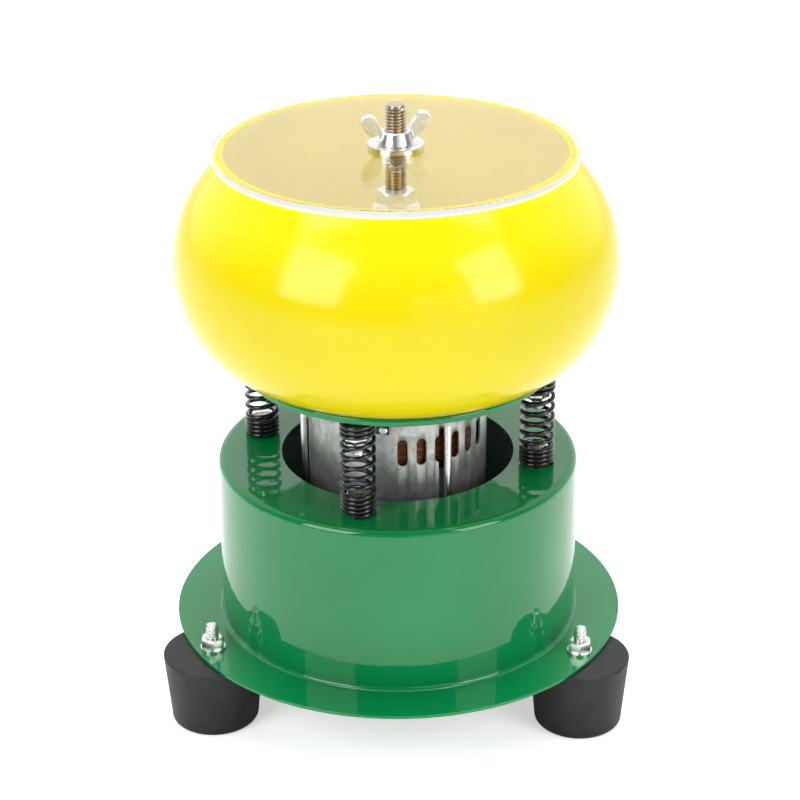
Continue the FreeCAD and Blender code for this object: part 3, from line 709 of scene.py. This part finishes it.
threadShape = {
    "rootShare": 0.613,     # of the pitch, from crest to root
    # one turn's outline: share of the root's depth, share of the pitch
    "tooth": [(1.0, 0.0), (1.0, 0.14), (0.0, 0.50), (0.0, 0.64), (1.0, 1.0)],
    "steps": 26,            # to a turn
    "runOut": 0.35,         # of the pitch, left plain at each end
    "pointShare": 0.3,      # of the pitch, chamfered off the core's ends
    "coreGrip": 1.01,       # the core reaches this share of the root, so that it meets the thread
    "centrePitch": 1.5,     # M10
    "smallPitch": 1.0,      # M6
    "smallRadius": 3.0,
    "footCircle": 101.9,    # of the foot studs
    "footDegrees": -31.6,   # of the first of them
}


def cutAt(piece, height, above):
    # everything above or below the height is cut away and the cut is closed
    edit(piece)
    bpy.ops.mesh.bisect(plane_co=(0, 0, height), plane_no=(0, 0, 1), use_fill=True,
                        clear_inner=not above, clear_outer=above)
    leaveEdit()


def threadedRod(radius, pitch, low, high):
    # on the Z axis; radius and pitch in millimetres, low and high in metres
    pitch *= millimetre
    radius *= millimetre
    depth = threadShape["rootShare"] * pitch
    root = radius - depth
    start = low - 1.5 * pitch
    rod = drawOutline([(radius - sunk * depth, start + share * pitch)
                       for sunk, share in threadShape["tooth"]])
    turns = math.ceil((high - low) / pitch) + 3
    screwPiece(rod, turns, turns * pitch, threadShape["steps"])
    edit(rod)
    bpy.ops.mesh.remove_doubles(threshold=threadWeldGap)
    leaveEdit()
    lowerCut = low + threadShape["runOut"] * pitch
    upperCut = high - threadShape["runOut"] * pitch
    cutAt(rod, lowerCut, False)
    cutAt(rod, upperCut, True)
    edit(rod)
    bpy.ops.mesh.normals_make_consistent(inside=False)
    leaveEdit()
    for cut in (lowerCut, upperCut):
        narrowEnd(rod, cut, root / radius)
    return joinPieces([rod, plainCore(root, pitch, low, high)])


def narrowEnd(rod, height, share):
    # draws the thread in where it runs out
    pick(rod, "VERT", lambda vertex: abs(vertex.co.z - height) < weldGap)
    bpy.ops.transform.resize(value=(share, share, 1), center_override=(0, 0, height))
    leaveEdit()


def plainCore(root, pitch, low, high):
    # the rod under its thread, with a chamfered point at each end
    bpy.ops.mesh.primitive_cylinder_add(
        vertices=threadShape["steps"] * 2, radius=root * threadShape["coreGrip"],
        depth=high - low, location=(0, 0, (low + high) / 2))
    core = bpy.context.object
    bpy.ops.object.transform_apply(location=True, rotation=True, scale=True)
    bevelEdges(core, threadShape["pointShare"] * pitch, edgeBevel["pointDegrees"])
    return core


def makeStuds():
    low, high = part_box("centre_stud")
    centre = threadedRod(high[0] / millimetre, threadShape["centrePitch"], low[2], high[2])
    settle(centre, threadSmooth)
    finishPiece(centre, "threadedCentreStud", "platform", "dark_stud", "studSteel", "centre_stud")
    sets = {
        # name: CAD node, body, circle, count, first angle
        "threadedFootStuds": ("foot_studs", "base", threadShape["footCircle"], 3,
                              threadShape["footDegrees"]),
        "threadedSpringStuds": ("upper_spring_studs", "platform", springShape["circle"], 4,
                                springShape["firstDegrees"]),
    }
    for name, (node, body, circle, count, first) in sets.items():
        low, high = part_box(node)
        rod = threadedRod(threadShape["smallRadius"], threadShape["smallPitch"], low[2], high[2])
        rod.location = (circle * millimetre, 0, 0)
        settle(rod, threadSmooth)
        rods = joinPieces(around(rod, count, first))
        finishPiece(rods, name, body, "zinc_plate", "zinc", node)


wingNut = {
    "voxel": 0.32,          # millimetres
    "softening": 6,         # passes
    "easing": 0.5,          # in each of them
}


def makeWingNut():
    # cast soft from the CAD nut: remeshed fine, then eased along its edges
    nut = mergedCopy("wing_nut")
    nut.data.remesh_voxel_size = wingNut["voxel"] * millimetre
    only(nut)
    bpy.ops.object.voxel_remesh()
    ease = nut.modifiers.new("ease", "SMOOTH")
    ease.factor = wingNut["easing"]
    ease.iterations = wingNut["softening"]
    applyModifier(nut, ease)
    settle(nut, castSmooth)
    finishPiece(nut, "castWingNut", "wing_nut", "zinc_plate", "castZinc", "wing_nut")


bevelled = {
    # piece: node, body, slot, finish, width in millimetres
    "pressedCan": ("motor_can", "platform", "motor_sheet", "motor", 0.34),
    "footNutSet": ("foot_nuts", "base", "zinc_plate", "zinc", 0.25),
    "springBoltSet": ("lower_spring_bolts", "base", "zinc_plate", "zinc", 0.25),
    "springUnderNutSet": ("lower_spring_nuts", "base", "zinc_plate", "zinc", 0.25),
    "springTopNutSet": ("upper_spring_nuts", "platform", "zinc_plate", "zinc", 0.25),
    "plateNutPair": ("stud_plate_nuts", "platform", "zinc_plate", "zinc", 0.35),
    "hubTopNut": ("hub_nut", "hub_nut", "zinc_plate", "zinc", 0.35),
    "earthTabPlate": ("earth_tab", "platform", "dark_steel", "darkSteel", 0.2),
    "earthTabScrew": ("earth_screw", "platform", "zinc_plate", "zinc", 0.25),
    "canTieRods": ("tie_rods", "platform", "zinc_plate", "zinc", 0.25),
}


def makeBevelled():
    for name, (node, body, slot, finish, width) in bevelled.items():
        piece = mergedCopy(node)
        edit(piece)
        bpy.ops.mesh.dissolve_limited(angle_limit=math.radians(edgeBevel["flatDegrees"]))
        leaveEdit()
        bevelEdges(piece, width * millimetre)
        settle(piece)
        finishPiece(piece, name, body, slot, finish, node)


winding = {
    "wires": 15,            # rows that show on the outside
    "bulge": 0.62,          # of a row, in millimetres
    "row": [(0.0, 0.0), (0.2, 0.8), (0.5, 1.0), (0.8, 0.8)],    # share of its height, of its bulge
    "innerRadius": 28.0,
    "corner": 2.5,          # the bundle's cut corners
    "steps": 96,            # round the motor
}


def windingOutline(node):
    # the bundle's section: rows of wire down its outside, plain elsewhere
    low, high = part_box(node)
    inner, outer = winding["innerRadius"], high[0] / millimetre
    bottom, top = low[2] / millimetre, high[2] / millimetre
    corner = winding["corner"]
    row = (top - bottom - 2 * corner) / winding["wires"]
    points = [(inner + corner, bottom), (outer - corner, bottom)]
    for i in range(winding["wires"]):
        for share, reach in winding["row"]:
            points.append((outer - winding["bulge"] * (1.0 - reach),
                           bottom + corner + row * (i + share)))
    points += [(outer - winding["bulge"], top - corner), (outer - corner, top),
               (inner + corner, top), (inner, top - corner), (inner, bottom + corner)]
    return points


def makeWindings():
    for node, name in (("upper_winding", "upperCoilBundle"), ("lower_winding", "lowerCoilBundle")):
        bundle = lathePiece(windingOutline(node), winding["steps"])
        settle(bundle, roundSmooth)
        finishPiece(bundle, name, "platform", "copper_winding", "copper", node)


mouldDot = {
    "radius": 1.15,         # millimetres
    "proud": 0.3,
    "sunk": 0.6,
    "height": 29.0,         # above the floor
    "rim": 0.35,            # round the dished middle
    "dish": 0.3,            # how deep
    "edge": 0.12,           # the bevel
    "footTaper": 3.2,       # from the foot's top radius to its bottom radius
    "sides": 28,
    "atDegrees": {"foot_1": 40.0, "foot_2": 150.0, "foot_3": -118.0},
}


def makeMouldDots():
    # the mark of the mould's gate on the side of each foot, wherever the foot has been turned to
    for node, turn in mouldDot["atDegrees"].items():
        low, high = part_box(node)
        middle = (Vector(low) + Vector(high)) / 2
        topRadius = (high[0] - low[0]) / 2
        height = high[2] - low[2]
        bottomRadius = topRadius - mouldDot["footTaper"] * millimetre
        lift = mouldDot["height"] * millimetre
        sideRadius = bottomRadius + (topRadius - bottomRadius) * lift / height
        lean = math.atan2(topRadius - bottomRadius, height)
        bpy.ops.mesh.primitive_cylinder_add(
            vertices=mouldDot["sides"], radius=mouldDot["radius"] * millimetre,
            depth=(mouldDot["proud"] + mouldDot["sunk"]) * millimetre)
        dot = bpy.context.object
        pick(dot, "FACE", lambda face: face.normal.z > 0.9)
        bpy.ops.mesh.bevel(offset=mouldDot["edge"] * millimetre, segments=2)
        bpy.ops.mesh.inset(thickness=mouldDot["rim"] * millimetre)
        bpy.ops.transform.translate(value=(0, 0, -mouldDot["dish"] * millimetre))
        leaveEdit()
        reach = sideRadius + (mouldDot["proud"] - mouldDot["sunk"]) / 2 * millimetre
        dot.matrix_world = (Matrix.Translation((middle.x, middle.y, low[2] + lift))
                            @ Matrix.Rotation(math.radians(turn), 4, "Z")
                            @ Matrix.Translation((reach, 0, 0))
                            @ Matrix.Rotation(math.pi / 2 + lean, 4, "Y"))
        settle(dot)
        finishPiece(dot, f"gateMark{node[-1]}", "base", "black_rubber", "rubber")


placeCamera()
layFloor()
hangLamps()
lightRoom()
print("camera, floor and lamps placed")
finishes = makeFinishes()
finishCadNodes()
print("finishes made:", len(finishes))
makeSprings()
print("springs wound")
makeStuds()
print("studs threaded")
makeWingNut()
makeBevelled()
print("nuts, can and small fasteners finished")
makeWindings()
makeMouldDots()
print("windings and moulding marks made")
